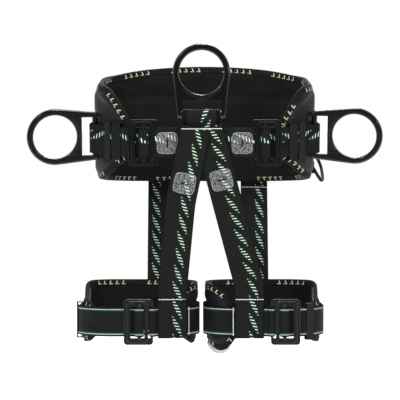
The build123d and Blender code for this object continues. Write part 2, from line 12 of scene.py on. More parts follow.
import bmesh
import bpy
import numpy as np
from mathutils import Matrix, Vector


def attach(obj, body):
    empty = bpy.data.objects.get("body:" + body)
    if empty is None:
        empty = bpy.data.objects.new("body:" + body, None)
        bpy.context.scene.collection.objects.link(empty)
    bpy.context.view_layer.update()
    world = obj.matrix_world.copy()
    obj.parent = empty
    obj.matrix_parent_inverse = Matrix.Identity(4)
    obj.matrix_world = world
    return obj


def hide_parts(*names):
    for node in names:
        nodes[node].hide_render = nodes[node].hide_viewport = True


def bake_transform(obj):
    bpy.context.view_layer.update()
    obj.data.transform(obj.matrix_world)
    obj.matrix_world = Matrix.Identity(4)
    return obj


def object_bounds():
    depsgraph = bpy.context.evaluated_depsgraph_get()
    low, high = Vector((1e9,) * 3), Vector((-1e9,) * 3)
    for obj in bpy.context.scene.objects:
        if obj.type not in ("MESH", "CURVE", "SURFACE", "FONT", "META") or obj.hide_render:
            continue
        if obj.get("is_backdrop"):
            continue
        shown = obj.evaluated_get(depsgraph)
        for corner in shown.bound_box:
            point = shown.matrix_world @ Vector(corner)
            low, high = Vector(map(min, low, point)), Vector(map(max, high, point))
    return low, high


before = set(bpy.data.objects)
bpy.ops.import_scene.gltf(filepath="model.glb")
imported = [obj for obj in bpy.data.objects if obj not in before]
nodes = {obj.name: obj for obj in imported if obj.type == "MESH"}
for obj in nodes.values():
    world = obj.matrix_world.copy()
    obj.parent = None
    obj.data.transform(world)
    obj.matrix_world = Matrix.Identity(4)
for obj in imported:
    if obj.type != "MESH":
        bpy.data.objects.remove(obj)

cad_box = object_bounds()
norm = np.linalg.norm
MM = 0.001
SIDES = {"left": 1, "right": -1}

# ---------------------------------------------------------------- driving dimensions, as in the CAD
WEB_W, WEB_T = 45.0, 2.2
DIP = math.radians(10.5)
WAIST = (168.0, 122.0, 80.0)  # half width, half depth, corner radius
WAIST_CORNER = (88.0, -42.0)
WAIST_PAD_T = 12.0
WAIST_LOW_Z = -75.5
BELT_MID, TAIL_MID = 3.6, 6.0
FRONT_X = -5.0
OVER_BAR = 1.6
STEEL = 2.5
FRAME_V = TAIL_MID + WEB_T / 2 + 0.4
STRAP_FRONT_Y = -WAIST[1] - FRAME_V - STEEL / 2 - OVER_BAR - STEEL / 2 + 0.1
STRAP_BACK_Y = -WAIST[1] - FRAME_V - STEEL / 2 + OVER_BAR + STEEL / 2 - 0.1
STRAP_TAIL_Y = STRAP_FRONT_Y + WEB_T + 0.2
GAP = 0.3
LOOP_FRONT_Y = STRAP_FRONT_Y - WEB_T - GAP
FRONT_STRAP_Y = {"left": LOOP_FRONT_Y - WEB_T - GAP, "right": LOOP_FRONT_Y - 2 * (WEB_T + GAP)}
FRONT_STRAP_X = {"left": (9.5, 39.0), "right": (-8.0, -31.5)}
TOP_W, SPLIT_W = 24.5, -90.0
TACK_W, TACK_H = 32.0, 33.0
FRONT_TACK_W = {"left": -55.0, "right": -60.0}
REAR_X = {"left": 84.0, "right": -72.0}
REAR_TOP_Y, REAR_FOOT_Y = 124.3, 98.4
LEG = (89.0, 81.0, 50.0)
LEG_CORNER = (39.0, -31.0)
LEG_Y, LEG_Z = 10.0, -296.5
LEG_X = {"left": FRONT_X + 97.5, "right": FRONT_X - 97.5}
LEG_PAD_T = 9.0
LEG_BELT, LEG_TAIL = 4.8, 7.2
FOOT_OUT = {"left": -24.0, "right": -53.5}
BUCKLE_OUT = {"left": 33.0, "right": 0.5}
LEG_KEEPER_AT = {"left": -58.0, "right": -12.0}
TAIL_PAST_KEEPER = 14.0  # degrees, as the keepers' places are
FOOT_TOP = 36.0
CHANNEL_W, CHANNEL_HALF = 38.0, 5.0  # the channel along the waist pad's inner face
ROW_HALF = 21.5  # half a stitched row across a strap


def waist(x, y, w):
    """A point on the tilted waist plane, in metres."""
    return Vector((x, y * math.cos(DIP) - w * math.sin(DIP), y * math.sin(DIP) + w * math.cos(DIP))) * MM


def leg_point(side, x, y, w):
    """A point of a leg loop, in metres; x is outwards."""
    return Vector((LEG_X[side] + SIDES[side] * x, LEG_Y + y, LEG_Z + w)) * MM


WAIST_UP = waist(0, 0, 1000)
WAIST_FRONT = -waist(0, 1000, 0)
UP = Vector((0, 0, 1))
X_WAY = Vector((1, 0, 0))


def add(made):
    bpy.context.scene.collection.objects.link(made)


# ---------------------------------------------------------------- camera, light and floor
def studio():
    """A plain pale floor, soft light and the camera at the photograph's angle."""
    camera = bpy.data.objects.new("camera", bpy.data.cameras.new("camera"))
    add(camera)
    camera.location = (-0.00716, -2.2, -0.1095)
    camera.rotation_euler = (math.radians(90), 0, 0)
    camera.data.lens = 124.5
    bpy.context.scene.camera = camera

    world = bpy.data.worlds.new("studio")
    world.use_nodes = True
    world.node_tree.nodes["Background"].inputs[0].default_value = (1.0, 1.0, 1.0, 1)
    world.node_tree.nodes["Background"].inputs[1].default_value = 1.0
    bpy.context.scene.world = world
    bpy.context.scene.view_settings.view_transform = "Standard"

    lamps = {
        "key": ((-1.3, -2.0, 1.5), 0.38, 62),
        "fill": ((1.7, -1.9, 0.5), 0.42, 34),
        "back": ((0.3, 1.9, 1.9), 0.7, 45),
        "top": ((0.0, -0.4, 2.0), 0.45, 26),
    }
    for name, (place, size, watts) in lamps.items():
        data = bpy.data.lights.new(name, "AREA")
        data.size, data.energy = size, watts
        lamp = bpy.data.objects.new(name, data)
        lamp.location = place
        lamp.rotation_euler = (Vector((0, 0, -0.1)) - lamp.location).to_track_quat("-Z", "Y").to_euler()
        add(lamp)

    bpy.ops.mesh.primitive_circle_add(vertices=96, radius=9, fill_type="NGON", location=(0, 0, -0.52))
    floor = bpy.context.object
    floor.name = "floor"
    paper = Shade("floor_paper", grey(0.93), 0.9)
    paper.colour_mix(paper.noise(3.0, 2.0), grey(0.985), grey(0.998))
    floor.data.materials.append(paper.mat)
    floor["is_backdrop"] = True


# ---------------------------------------------------------------- shading helpers
class Shade:
    """A procedural material under construction."""

    def __init__(self, name, base, roughness, specular=0.5):
        self.mat = bpy.data.materials.new(name)
        self.mat.use_nodes = True
        self.tree = self.mat.node_tree
        self.bsdf = self.tree.nodes["Principled BSDF"]
        self.bsdf.inputs["Base Color"].default_value = (*base, 1)
        self.bsdf.inputs["Roughness"].default_value = roughness
        self.bsdf.inputs["Specular IOR Level"].default_value = specular

    def plug(self, socket, value):
        """Links a socket, or sets a number or colour on it."""
        if isinstance(value, bpy.types.NodeSocket):
            self.tree.links.new(value, socket)
        elif hasattr(value, "__len__") and len(value) == 3 and socket.type == "RGBA":
            socket.default_value = (*value, 1)
        else:
            socket.default_value = value

    def node(self, kind, *inputs, **settings):
        made = self.tree.nodes.new("ShaderNode" + kind)
        for key, value in settings.items():
            setattr(made, key, value)
        for index, value in enumerate(inputs):
            if value is not None:
                self.plug(made.inputs[index], value)
        return made

    def math(self, operation, *inputs, clamp=False):
        return self.node("Math", *inputs, operation=operation, use_clamp=clamp).outputs[0]

    plus = partialmethod(math, "ADD")
    minus = partialmethod(math, "SUBTRACT")
    times = partialmethod(math, "MULTIPLY")
    scaled = partialmethod(math, "MULTIPLY_ADD")
    absolute = partialmethod(math, "ABSOLUTE")
    most = partialmethod(math, "MAXIMUM")

    def mix(self, factor, first, second):
        made = self.tree.nodes.new("ShaderNodeMix")
        made.data_type = "RGBA"
        for index, value in ((0, factor), (6, first), (7, second)):
            self.plug(made.inputs[index], value)
        return made.outputs[2]

    def place(self):
        """Coordinates in the object's own space, in metres."""
        return self.node("TexCoord").outputs["Object"]

    def cloth(self):
        """Lengths along and across the cloth, in millimetres."""
        both = self.node("UVMap", uv_map="cloth").outputs[0]
        split = self.node("SeparateXYZ", both)
        return [self.times(split.outputs[i], 1000.0) for i in (0, 1)]

    def noise(self, scale, detail=3.0, vector=None):
        made = self.node("TexNoise")
        self.plug(made.inputs["Vector"], vector or self.place())
        made.inputs["Scale"].default_value = scale
        made.inputs["Detail"].default_value = detail
        return made.outputs[0]

    def near(self, value, centre, half, soft):
        """1 within half of centre, falling to 0 over soft."""
        off = self.absolute(self.minus(value, centre))
        return self.math("DIVIDE", self.minus(half + soft / 2, off), soft, clamp=True)

    def wave(self, value, pitch):
        """A sine from 0 to 1 with this pitch."""
        turned = self.times(value, 2 * math.pi / pitch)
        return self.scaled(self.math("SINE", turned), 0.5, 0.5)

    def saw(self, value, pitch):
        """Distance from the middle of each stretch of this pitch."""
        return self.minus(self.math("MODULO", self.plus(value, pitch * 1000), pitch), pitch / 2)

    def colour(self, value):
        self.plug(self.bsdf.inputs["Base Color"], value)

    def colour_mix(self, factor, first, second):
        self.colour(self.mix(factor, first, second))

    def ranged(self, value, *limits):
        """A value carried from one range to another."""
        return self.node("MapRange", value, *limits).outputs[0]

    def rough(self, value, low, high):
        self.plug(self.bsdf.inputs["Roughness"], self.ranged(value, 0.0, 1.0, low, high))

    def bump(self, height, distance_mm, strength=1.0):
        made = self.node("Bump")
        made.inputs["Strength"].default_value = strength
        made.inputs["Distance"].default_value = distance_mm * MM
        self.plug(made.inputs["Height"], height)
        self.plug(self.bsdf.inputs["Normal"], made.outputs[0])

    def surface(self, height, distance_mm, strength, roughness, low, high):
        """Sets the bump and the roughness, and gives the finished material."""
        self.bump(height, distance_mm, strength)
        self.rough(roughness, low, high)
        return self.mat

    def sheen(self, weight, tint):
        self.bsdf.inputs["Sheen Weight"].default_value = weight
        self.bsdf.inputs["Sheen Roughness"].default_value = 0.45
        self.bsdf.inputs["Sheen Tint"].default_value = (*tint, 1)


# ---------------------------------------------------------------- materials
BLACK_YARN, GREY_YARN = (0.0022, 0.0022, 0.0024), (0.0075, 0.0075, 0.0078)
CREAM, GREEN, DARK_GREEN = (0.66, 0.70, 0.60), (0.24, 0.46, 0.29), (0.002, 0.014, 0.006)
FRONT_MARK, WAIST_MARK, REAR_MARK = 6.5, -6.5, 8.4  # how far the dashes are off a strap's middle
TAPE_PHASE = 28.0  # where along the edge tape its groups of marks begin
TACK_ROUND = 5.0  # the power of a sewn block's rounded outline


def grey(value):
    return (value, value, value)


def weave(shade, along, across):
    """Herringbone webbing: its height, and its colour before any marks."""
    chevron = shade.absolute(shade.saw(across, 6.4))
    ridge = shade.wave(shade.scaled(chevron, 1.15, along), 2.3)
    rib = shade.wave(across, 1.07)
    height = shade.scaled(rib, 0.35, ridge)
    fuzz = shade.noise(900.0, 2.0)
    worn = shade.noise(45.0, 3.0)
    tone = shade.times(shade.plus(shade.times(ridge, 0.65), fuzz), worn)
    selvedge = shade.times(shade.minus(shade.absolute(across), 20.9), 1.4, clamp=True)
    yarn = shade.mix(selvedge, shade.mix(tone, BLACK_YARN, GREY_YARN), (0.0004, 0.0004, 0.0005))
    return shade.scaled(fuzz, 0.4, height), yarn


def finish_webbing(shade, height, colour):
    shade.colour(colour)
    shade.sheen(0.012, (0.8, 0.85, 0.95))
    return shade.surface(height, 0.28, 0.8, shade.noise(70.0), 0.5, 0.78)


def plain_webbing():
    shade = Shade("plain_webbing", BLACK_YARN, 0.65, 0.06)
    return finish_webbing(shade, *weave(shade, *shade.cloth()))


def dash_groups(shade, along, across, middle):
    """Slanting groups of short cross dashes: where the pale dashes are, and the green round them."""
    pitch, half_group, lean, skew, dash = 27.2, 14.2, 0.46, -0.15, 27.2 / 6
    longest, shortest, stripe_half = 3.8, 0.70, 0.62
    halo_grow = 1.8
    masks = []
    along = shade.scaled(shade.minus(across, middle), skew, along)
    first = shade.saw(along, pitch)
    beyond = shade.times(shade.math("SIGN", first), -pitch)
    for local in (first, shade.plus(first, beyond)):
        inside = shade.minus(half_group, shade.absolute(local))
        half_length = shade.math("MINIMUM", shade.scaled(inside, 0.30, shortest), longest)
        line = shade.scaled(local, lean, middle)
        off = shade.absolute(shade.minus(across, line))
        shown = shade.math("GREATER_THAN", inside, 0.0)
        for grow in (0.0, halo_grow):
            reach = shade.plus(half_length, grow)
            masks.append(shade.times(shade.times(shade.minus(reach, off), 2.0, clamp=True), shown))
    group = shade.most(masks[0], masks[2])
    halo = shade.most(masks[1], masks[3])
    stripe = shade.near(shade.saw(shade.plus(along, dash / 2), dash), 0.0, stripe_half, 0.4)
    return shade.times(group, stripe), halo


def marked_webbing(name, middle):
    shade = Shade(name, BLACK_YARN, 0.65, 0.06)
    along, across = shade.cloth()
    height, yarn = weave(shade, along, across)
    dashes, halo = dash_groups(shade, along, across, middle)
    speck = shade.noise(700.0, 2.0)
    tinted = shade.mix(shade.times(halo, 0.85), yarn, DARK_GREEN)
    pale = shade.mix(shade.times(shade.noise(120.0), 0.85), CREAM, GREEN)
    marked = shade.mix(shade.times(dashes, shade.scaled(speck, 0.5, 0.62, clamp=True)), tinted, pale)
    return finish_webbing(shade, shade.scaled(dashes, 0.5, height), marked)


def leg_webbing():
    """Ribbed webbing with a green and white zigzag line near each edge."""
    shade = Shade("leg_webbing", BLACK_YARN, 0.65, 0.06)
    along, across = shade.cloth()
    height, yarn = weave(shade, along, across)
    zigzag = shade.times(shade.absolute(shade.saw(along, 3.0)), 0.7)
    side = shade.absolute(across)
    line = shade.near(side, 18.6, 0.55, 0.5)
    wavy = shade.near(shade.plus(side, zigzag), 19.6, 0.38, 0.5)
    green_line = shade.near(side, 18.0, 1.4, 0.6)
    worn = shade.scaled(shade.noise(28.0, 2.0), 1.3, 0.0, clamp=True)
    tinted = shade.mix(green_line, yarn, (0.006, 0.045, 0.018))
    threads = shade.times(wavy, shade.scaled(line, 0.6, 0.5, clamp=True))
    pale = shade.mix(worn, (0.16, 0.36, 0.22), CREAM)
    return finish_webbing(shade, shade.scaled(threads, 0.5, height), shade.mix(threads, tinted, pale))


def shell_cloth():
    """Smooth woven nylon with a cool sheen."""
    shade = Shade("pad_shell", (0.006, 0.006, 0.008), 0.5, 0.1)
    along, across = shade.cloth()
    grid = shade.times(shade.wave(along, 1.1), shade.wave(across, 1.1))
    folds = shade.noise(24.0, 2.0)
    shade.colour_mix(shade.times(grid, folds), (0.0042, 0.0042, 0.0056), (0.0105, 0.0105, 0.0140))
    shade.sheen(0.03, (0.7, 0.78, 1.0))
    return shade.surface(shade.scaled(folds, 6.0, grid), 0.16, 0.7, folds, 0.4, 0.6)


def spacer_mesh():
    """Black spacer mesh: staggered dimples with raised yarn between, and a plain tape in the channel."""
    shade = Shade("pad_lining", grey(0.005), 0.8, 0.04)
    along, across = shade.cloth()
    sum_way = shade.wave(shade.plus(along, across), 4.4)
    other_way = shade.wave(shade.minus(along, across), 4.4)
    holes = shade.times(sum_way, other_way)
    tape = shade.near(across, CHANNEL_W, CHANNEL_HALF + 1.0, 1.0)
    pattern = shade.times(holes, shade.minus(1.0, tape))
    yarn = shade.noise(500.0, 2.0)
    shade.colour_mix(pattern, shade.mix(yarn, grey(0.005), grey(0.01)), grey(0.0008))
    shade.sheen(0.012, (1, 1, 1))
    return shade.surface(shade.minus(shade.times(yarn, 0.3), pattern), 0.8, 0.9, yarn, 0.65, 0.9)


def leg_lining():
    """Brushed knitted cloth inside the leg pads."""
    shade = Shade("leg_lining", grey(0.004), 0.8, 0.04)
    along, across = shade.cloth()
    knit = shade.times(shade.wave(along, 1.6), shade.wave(across, 1.6))
    nap = shade.noise(60.0, 4.0)
    tone = shade.times(nap, shade.plus(knit, 0.4))
    shade.colour_mix(tone, (0.0022, 0.0022, 0.0025), (0.0075, 0.0075, 0.0080))
    shade.sheen(0.012, (0.9, 0.95, 1.0))
    return shade.surface(shade.plus(knit, nap), 0.25, 0.6, nap, 0.6, 0.9)


def edge_tape():
    """Ribbed tape with groups of pale slanting marks."""
    shade = Shade("edge_tape", grey(0.005), 0.7, 0.06)
    along, across = shade.cloth()
    pitch = 10.6
    rib = shade.wave(along, 1.0)
    side = shade.absolute(across)
    slanted = shade.saw(shade.scaled(side, 0.40, along), pitch)
    bars = shade.near(slanted, -1.6, 0.85, 0.4)
    ticks = shade.times(shade.near(slanted, 1.2, 2.6, 0.4), shade.near(side, 7.9, 0.7, 0.3))
    band = shade.near(side, 5.7, 3.0, 0.4)
    group = shade.near(shade.saw(shade.plus(along, TAPE_PHASE), 8 * pitch), 0.0, 2.5 * pitch, 0.6)
    bars = shade.most(bars, ticks)
    fray = shade.scaled(shade.noise(420.0, 2.0), 0.9, 0.35, clamp=True)
    marks = shade.times(shade.times(bars, band), shade.times(group, fray))
    cloth = shade.mix(shade.times(rib, shade.noise(60.0)), grey(0.0022), grey(0.008))
    shade.colour_mix(marks, cloth, (0.40, 0.43, 0.27))
    return shade.surface(shade.scaled(marks, 0.4, rib), 0.2, 0.7, rib, 0.6, 0.75)


def piping_cloth():
    """Pale grey reflective piping with a fine grain."""
    shade = Shade("piping", grey(0.5), 0.45, 0.3)
    along, _ = shade.cloth()
    grain = shade.noise(350.0, 3.0)
    rib = shade.wave(along, 1.2)
    shade.colour_mix(shade.times(rib, grain), (0.26, 0.265, 0.27), (0.40, 0.41, 0.42))
    return shade.surface(shade.plus(rib, grain), 0.1, 0.5, grain, 0.35, 0.6)


def coated_metal(name, base, edge, low, high, specular=0.09):
    """Black coated steel: fine orange peel, edges a little brighter from rubbed wear and from painted
    highlight, and glossy rims.
    """
    shade = Shade(name, base, low, specular)
    normal = shade.node("TexCoord").outputs["Normal"]
    facing = shade.absolute(shade.node("SeparateXYZ", normal).outputs[1])
    face_on, turned = 0.93, 0.80  # how squarely a face looks to the front or the back
    rim = shade.ranged(facing, face_on, turned, specular, min(0.5, 6 * specular))
    shade.plug(shade.bsdf.inputs["Specular IOR Level"], rim)
    worn = shade.node("NewGeometry").outputs["Pointiness"]
    # pointed edges turn to the edge colour: partly rubbed wear, partly a painted highlight along the rims
    edge_wear_and_highlight = shade.times(shade.minus(worn, 0.52), 9.0, clamp=True)
    patches = shade.noise(38.0, 4.0)
    shade.colour_mix(shade.times(edge_wear_and_highlight, patches), base, edge)
    shade.rough(shade.noise(90.0, 4.0), low, high)
    peel = shade.noise(1300.0, 2.0)
    shade.bump(shade.scaled(shade.noise(160.0), 1.2, peel), 0.035, 0.5)
    return shade.mat


def keeper_material(name, base, pitch):
    """A keeper's body: moulded plastic or ribbed elastic, ribbed up its height."""
    shade = Shade(name, base, 0.5, 0.08)
    height = shade.node("SeparateXYZ", shade.place()).outputs[2]
    ribs = shade.wave(shade.times(height, 1000.0), pitch)
    grain = shade.noise(420.0, 3.0)
    shade.colour_mix(shade.times(ribs, grain), base, tuple(2.2 * c for c in base))
    return shade.surface(shade.scaled(grain, 0.6, ribs), 0.15, 0.6, grain, 0.42, 0.62)


def thread(name, low, high):
    """Stitching thread: twisted and slightly shiny."""
    shade = Shade(name, low, 0.5, 0.3)
    twist = shade.noise(1500.0, 2.0)
    shade.colour_mix(twist, low, high)
    return shade.surface(twist, 0.15, 0.8, twist, 0.42, 0.62)


def tack_thread(name, middle, start):
    """Dense grey stitching, through which the strap's pale dashes still show, with a paler rim that is a
    painted highlight on the block's raised edge.
    """
    shade = Shade(name, grey(0.1), 0.6, 0.1)
    along, across = shade.cloth()
    rows = shade.wave(shade.scaled(shade.absolute(shade.saw(across, 3.4)), 1.3, along), 2.6)
    speck = shade.ranged(shade.noise(620.0, 2.0), 0.38, 0.66, 0.0, 1.0)
    ends = [
        shade.math("POWER", shade.math("DIVIDE", shade.absolute(value), half), TACK_ROUND)
        for value, half in ((shade.minus(along, start), TACK_W / 2), (across, TACK_H / 2))
    ]
    # the block's rim is painted paler: a painted highlight along its raised edge
    rim = shade.times(shade.minus(shade.plus(*ends), 0.62), 4.0, clamp=True)
    worked = shade.times(shade.scaled(rows, 0.55, 0.25), speck)
    # sewn mixes the stitch rows with the painted rim highlight
    sewn = shade.scaled(rim, shade.scaled(speck, 0.35, 0.30), worked, clamp=True)
    threads = shade.mix(sewn, (0.008, 0.009, 0.010), (0.31, 0.32, 0.33))
    dashes, _ = dash_groups(shade, along, across, middle)
    shade.colour_mix(shade.times(dashes, 0.7), threads, (0.62, 0.68, 0.60))
    return shade.surface(shade.plus(rows, speck), 0.35, 0.9, speck, 0.45, 0.7)


def braid():
    """Braided cord: crossing diagonal strands round the cord."""
    shade = Shade("cord_braid", grey(0.004), 0.55, 0.1)
    split = shade.node("SeparateXYZ", shade.node("TexCoord").outputs["UV"])
    along = shade.times(split.outputs[0], 52.0)
    around = shade.times(split.outputs[1], 6.0)
    one = shade.wave(shade.plus(along, around), 1.0)
    other = shade.wave(shade.minus(along, around), 1.0)
    strands = shade.most(one, other)
    tone = shade.times(strands, shade.noise(300.0))
    shade.colour_mix(tone, (0.002, 0.002, 0.0023), (0.012, 0.012, 0.013))
    return shade.surface(strands, 0.35, 0.8, shade.noise(200.0), 0.45, 0.65)


# ---------------------------------------------------------------- mesh helpers
def link_mesh(name, verts, faces, uvs=None, materials=(), face_slots=None):
    """A smooth-shaded mesh object; uvs gives a pair in metres for each vertex or each face corner."""
    mesh = bpy.data.meshes.new(name)
    mesh.from_pydata([tuple(v) for v in verts], [], faces)
    for material in materials:
        mesh.materials.append(material)
    if face_slots is not None:
        mesh.polygons.foreach_set("material_index", face_slots)
    if uvs is not None:
        if len(uvs) == len(verts):
            uvs = [uvs[v] for face in faces for v in face]
        layer = mesh.uv_layers.new(name="cloth")
        layer.data.foreach_set("uv", np.asarray(uvs, np.float32).ravel())
    mesh.polygons.foreach_set("use_smooth", [True] * len(mesh.polygons))
    mesh.validate()
    made = bpy.data.objects.new(name, mesh)
    add(made)
    whole = bmesh.new()
    whole.from_mesh(mesh)
    bmesh.ops.recalc_face_normals(whole, faces=whole.faces)
    whole.to_mesh(mesh)
    whole.free()
    return made


def put(piece, body, replaced=()):
    """Rides a piece on its body, and hides the CAD nodes it stands for."""
    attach(piece, body)
    if replaced:
        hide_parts(*replaced)
    return piece


def as_line(points):
    return np.array([tuple(p) for p in points], float)


def lengths(line):
    """Length along a line at each of its points."""
    return np.concatenate([[0], np.cumsum(norm(np.diff(line, axis=0), axis=1))])


def across_from(half):
    """A whole plan line from its half at x above 0."""
    return [(-x, y) for x, y in half[:0:-1]] + [tuple(p) for p in half]


def tube_faces(rings, around, base=0):
    """Faces between rings of points, each ring closed on itself."""
    faces = []
    for one in range(base, base + (rings - 1) * around, around):
        two = one + around
        for j in range(around):
            k = (j + 1) % around
            faces.append((one + j, one + k, two + k, two + j))
    return faces


def run_between(start, end, step):
    """Points after start up to end, no further apart than step."""
    count = max(1, math.ceil(norm(end - start) / step))
    return [start + (end - start) * (k + 1) / count for k in range(count)]


def bend(points, radii, step=4.0):
    """A bent line as close points, its corners rounded to their radii."""
    corners = [np.array(p, float) for p in points]
    line = [corners[0]]
    for before, corner, after, radius in zip(corners, corners[1:], corners[2:], radii):
        back = (before - corner) / norm(before - corner)
        ahead = (after - corner) / norm(after - corner)
        half = math.acos(max(-1.0, min(1.0, float(back @ ahead)))) / 2
        start, end = corner + back * radius / math.tan(half), corner + ahead * radius / math.tan(half)
        middle = back + ahead
        centre = corner + middle / norm(middle) * radius / math.sin(half)
        turn = math.pi - 2 * half
        count = max(3, math.ceil(turn * radius / step), math.ceil(turn / 0.35))
        if norm(start - line[-1]) > 0.01:
            line += run_between(line[-1], start, step)
        for k in range(1, count + 1):
            share = k / count
            left, gone = math.sin((1 - share) * turn), math.sin(share * turn)
            line.append(centre + ((start - centre) * left + (end - centre) * gone) / math.sin(turn))
    return line + run_between(line[-1], corners[-1], step)


def on_circle(centre, radius, angle):
    """A point of a circle, at an angle in degrees."""
    angle = math.radians(angle)
    return (centre[0] + radius * math.cos(angle), centre[1] + radius * math.sin(angle))


def mitre(centre, radius, start, end):
    """Where the tangents at two points of a circle meet."""
    return on_circle(centre, radius / math.cos(math.radians((end - start) / 2)), (start + end) / 2)


def lead(centre, radius, angle, ahead):
    """A point on the tangent to a circle, clockwise ahead of its touching point."""
    x, y = on_circle(centre, radius, angle)
    return on_circle((x, y), ahead, angle - 90)


def strap_section(width, thickness):
    """A strap's closed cross-section, from its lower edge up one face and back down the other."""
    places = (-1.0, -0.985, -0.95, -0.88, -0.6, -0.2, 0.2, 0.6, 0.88, 0.95, 0.985, 1.0)
    round_off = 1.2
    section = []
    for face in (1, -1):
        for share in places[::face]:
            depth = min(1.0, (1 - abs(share)) * width / 2 / round_off)
            bead = 0.12 * math.exp(-(((1 - abs(share)) * width / 2 - 2.2) / 1.0) ** 2)
            rise = thickness / 2 * math.sqrt(max(0.0, 1 - (1 - depth) ** 2)) + bead
            section.append((share * width / 2, face * max(rise, 0.12)))
    return section


def strap(name, points, across, material, width=WEB_W, thickness=WEB_T):
    """Webbing along points, in metres, lying across one direction made square to its path."""
    line = as_line(points)
    ahead = np.gradient(line, axis=0)
    ahead /= norm(ahead, axis=1)[:, None]
    across = np.array(tuple(across), float)
    wide = across - (ahead @ across)[:, None] * ahead
    wide /= norm(wide, axis=1)[:, None]
    out = np.cross(wide, ahead)
    section = strap_section(width, thickness)
    verts = [p + w * v * MM + n * h * MM for p, w, n in zip(line, wide, out) for v, h in section]
    uvs = [(along, v * MM) for along in lengths(line) for v, h in section]
    count = len(section)
    faces = tube_faces(len(line), count)
    for i in (0, len(line) - 1):
        faces.append(tuple(i * count + j for j in range(count)))
    return link_mesh(name, verts, faces, uvs, [material])


STITCH_SHAPE = ((-0.5, 0.0), (-0.36, 0.62), (0.0, 1.0), (0.36, 0.62), (0.5, 0.0))
BOLD = (2.7, 2.5, 1.7, 0.7)  # pitch, length, width and height of the white rows' stitches


def stitches(name, runs, material, pitch=3.2, length=2.4, wide=0.85, high=0.55):
    """Rows of single stitches; each run is (points in metres, the direction out of the cloth)."""
    verts, faces = [], []
    for points, out in runs:
        line = as_line(points)
        out = np.array(tuple(out), float)
        out /= norm(out)
        along = lengths(line)
        for start in np.arange(pitch / 2 * MM, along[-1], pitch * MM):
            middle = np.array([np.interp(start, along, line[:, i]) for i in range(3)])
            beyond = np.array([np.interp(start + 0.2 * MM, along, line[:, i]) for i in range(3)])
            ahead = beyond - middle
            if norm(ahead) < 1e-9:
                continue
            ahead /= norm(ahead)
            side = np.cross(out, ahead)
            base = len(verts)
            for share, rise in STITCH_SHAPE:
                for turn in (0.0, 60.0, 120.0, 180.0):
                    reach = math.cos(math.radians(turn)) * wide / 2 * (0.35 + 0.65 * rise)
                    lift = (math.sin(math.radians(turn)) * rise * high - 0.12) * MM
                    verts.append(middle + ahead * share * length * MM + side * reach * MM + out * lift)
            faces += tube_faces(len(STITCH_SHAPE), 4, base)
            faces.append(tuple(base + j for j in (3, 2, 1, 0)))
            faces.append(tuple(len(verts) - 4 + j for j in range(4)))
    return link_mesh(name, verts, faces, None, [material])


# ---------------------------------------------------------------- pads
def walk(shape, start, end, mid_n, step):
    """Columns along a rounded rectangle's edge: length along its middle, plan point, outward normal."""
    half_w, half_d, radius = shape
    rows, angle = [], start
    while angle < end - 1e-6:
        stop = min(end, (math.floor(angle / 90 + 1e-6) + 1) * 90)
        middle = math.radians((angle + stop) / 2)
        centre_x = math.copysign(half_w - radius, math.cos(middle))
        centre = (centre_x, math.copysign(half_d - radius, math.sin(middle)))
        for turned in np.linspace(angle, stop, max(3, math.ceil((stop - angle) / 2.5))):
            rows.append((*on_circle(centre, radius, turned), turned))
        angle = stop
    rows = np.array(rows)
    normals = np.stack([np.cos(np.radians(rows[:, 2])), np.sin(np.radians(rows[:, 2]))], axis=1)
    middle_line = rows[:, :2] + mid_n * normals
    along = lengths(middle_line)
    columns = np.linspace(0, along[-1], math.ceil(along[-1] / step))
    turned = np.interp(columns, along, rows[:, 2])
    plan = np.stack([np.interp(columns, along, rows[:, i]) for i in (0, 1)], axis=1)
    return columns, plan, np.stack([np.cos(np.radians(turned)), np.sin(np.radians(turned))], axis=1)


def smoothed(values, reach):
    """A running mean, so that an edge's corners are rounded."""
    padded = np.concatenate([np.full(reach, values[0]), values, np.full(reach, values[-1])])
    return np.convolve(padded, np.ones(2 * reach + 1) / (2 * reach + 1), "valid")


